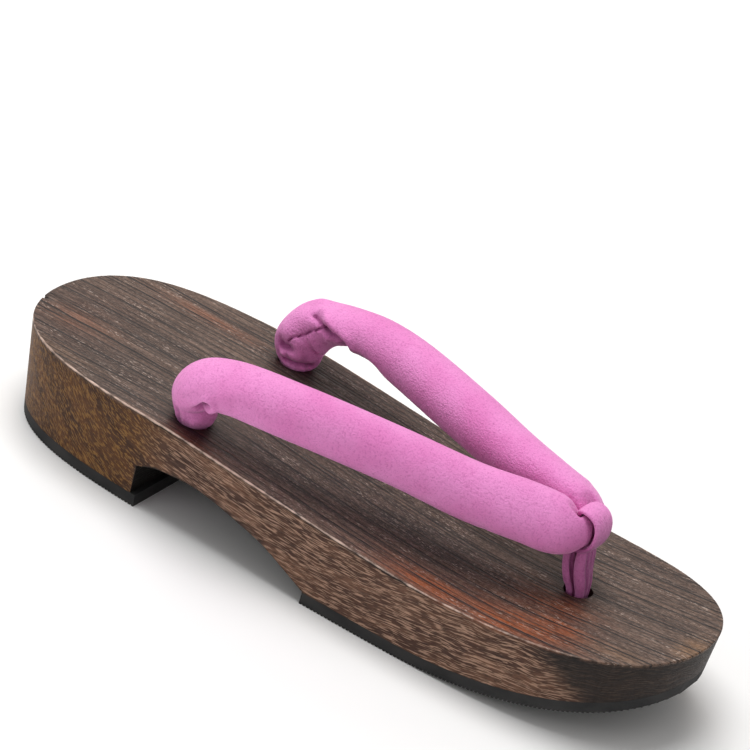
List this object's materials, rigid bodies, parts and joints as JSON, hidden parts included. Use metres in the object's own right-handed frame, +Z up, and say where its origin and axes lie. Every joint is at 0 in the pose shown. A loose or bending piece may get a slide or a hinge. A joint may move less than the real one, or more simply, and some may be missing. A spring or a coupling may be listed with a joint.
{
  "type": "geta sandal",
  "caption": "Wooden geta sandal: carved board with a heel block, arch and sprung toe, rubber treads, and a padded cloth V strap with a toe loop.",
  "frame": {"origin": "on the ground, under the middle of the board's length and width", "axes": "+X to the toe, +Y to the sandal's left side, +Z up"},
  "size_m": [0.2399, 0.0832, 0.0586],
  "materials": {
    "scorched_wood": "scorched and brushed, thin satin lacquer",
    "tread_rubber": "matt black",
    "strap_cloth": "matt pink crepe over soft padding"
  },
  "bodies": {
    "root": {"board": "scorched_wood", "front_tread": "tread_rubber", "heel_tread": "tread_rubber", "strap": "strap_cloth", "toe_loop": "strap_cloth"}
  },
  "joints": []
}
